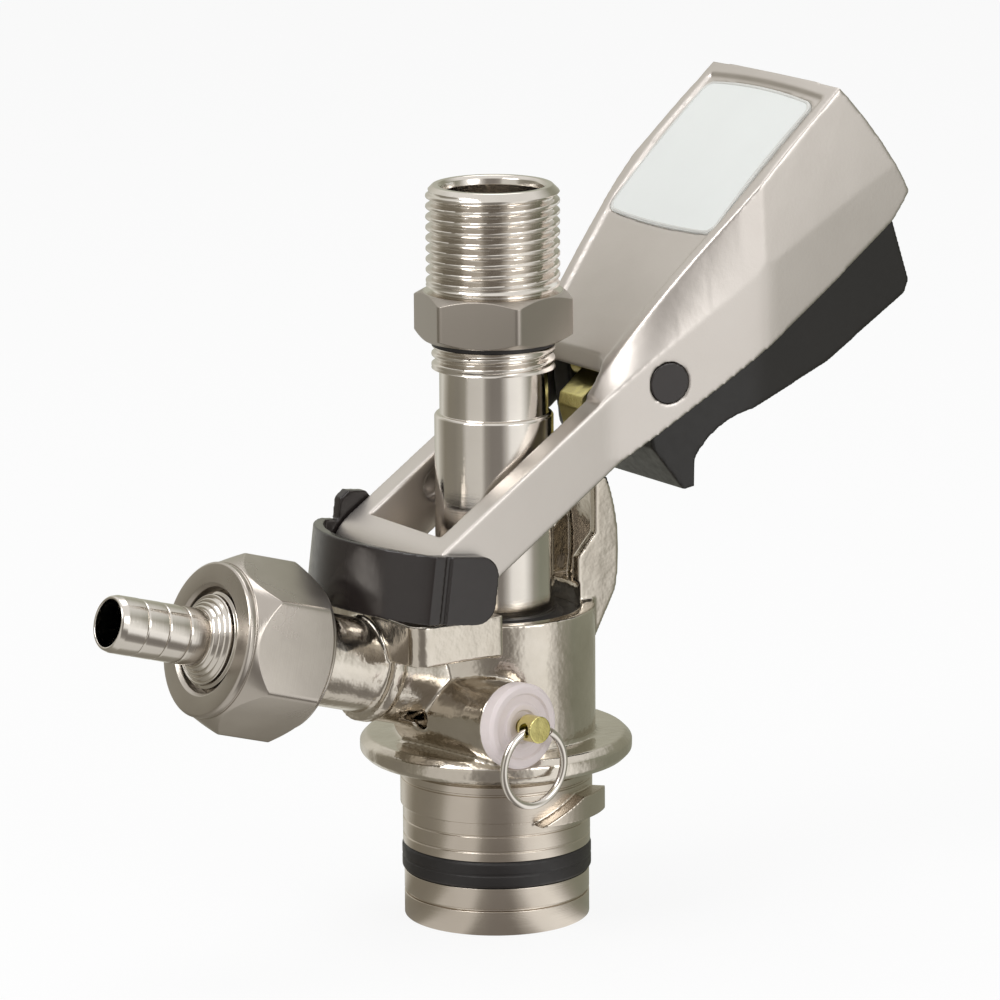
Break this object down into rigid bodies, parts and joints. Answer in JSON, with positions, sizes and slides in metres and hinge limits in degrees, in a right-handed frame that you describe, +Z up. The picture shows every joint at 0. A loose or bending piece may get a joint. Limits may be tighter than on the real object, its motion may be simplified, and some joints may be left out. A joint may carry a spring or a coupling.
{
  "type": "keg coupler",
  "caption": "Lever-operated keg coupler with sliding beer probe, gas inlet with hose tail, relief valve with pull ring and threaded beer outlet.",
  "frame": {"origin": "centre of the keg spigot's bottom face", "axes": "+Z up along the probe, +X towards the handle, -X towards the gas inlet, -Y towards the relief valve"},
  "size_m": [0.1529, 0.052, 0.1419],
  "materials": {
    "cast_metal": "cast, nickel plated",
    "turned_steel": "turned stainless",
    "lever_metal": "satin die-cast",
    "black_rubber": "matt",
    "black_plastic": "glossy",
    "grip_plastic": "satin",
    "label_film": "satin",
    "brass": "plain",
    "white_plastic": "satin",
    "cap_face": "satin",
    "ball_plastic": "gloss"
  },
  "bodies": {
    "body": {"coupler_body": "cast_metal", "keg_seal_ring": "black_rubber", "probe_wiper_ring": "black_rubber", "body_oring_lower": "black_rubber", "body_oring_upper": "black_rubber", "hinge_clip": "black_plastic", "hinge_pin_near": "turned_steel", "hinge_pin_far": "turned_steel", "gas_check_valve": "black_rubber", "gas_washer": "black_rubber", "gas_hose_tail": "turned_steel", "relief_cap": "cap_face", "relief_spring": "turned_steel"},
    "probe": {"probe_tube": "turned_steel", "cam_follower_near": "turned_steel", "cam_follower_far": "turned_steel", "probe_tip_seal": "black_rubber", "outlet_seal": "black_rubber", "outlet_fitting": "turned_steel", "ball_cage": "white_plastic"},
    "ball": {"check_ball": "ball_plastic"},
    "lever": {"lever_handle": "lever_metal", "label_plate": "label_film", "trigger_pin": "black_plastic"},
    "trigger": {"trigger_grip": "grip_plastic", "latch_pawl": "brass", "trigger_spring": "turned_steel"},
    "gas_nut": {"gas_union_nut": "turned_steel"},
    "relief_stem": {"relief_stem": "brass", "relief_seal": "black_rubber"},
    "pull_ring": {"relief_pull_ring": "turned_steel"}
  },
  "joints": [
    {"name": "lever_pivot", "type": "hinge", "parent": "body", "child": "lever", "pos_m": [-0.015, 0, 0.063], "axis": [0, 1, 0], "range_deg": [0, 40]},
    {"name": "probe_slide", "type": "slide", "parent": "body", "child": "probe", "axis": [0, 0, -1], "range_m": [0, 0.012]},
    {"name": "ball_lift", "type": "slide", "parent": "probe", "child": "ball", "axis": [0, 0, 1], "range_m": [0, 0.0025]},
    {"name": "trigger_pivot", "type": "hinge", "parent": "lever", "child": "trigger", "pos_m": [0.0243, 0, 0.0935], "axis": [0, -1, 0], "range_deg": [0, 5], "stiffness_Nm_per_rad": 0.5, "springref_deg": -11.46},
    {"name": "gas_nut_spin", "type": "hinge", "parent": "body", "child": "gas_nut", "pos_m": [-0.04902, 0, 0.05386], "axis": [-0.9613, 0, 0.2756], "continuous": true},
    {"name": "relief_pull", "type": "slide", "parent": "body", "child": "relief_stem", "axis": [0.1217, -0.9912, 0.0523], "range_m": [0, 0.0014], "stiffness_N_per_m": 3000, "springref_m": -0.001},
    {"name": "pull_ring_swing", "type": "hinge", "parent": "relief_stem", "child": "pull_ring", "pos_m": [-0.0096, -0.02648, 0.03953], "axis": [-0.9925, -0.1219, 0], "range_deg": [0, 75]}
  ],
  "couplings": [
    {"joint": "probe_slide", "follows": "lever_pivot", "m_per_rad": 0.017189}
  ]
}
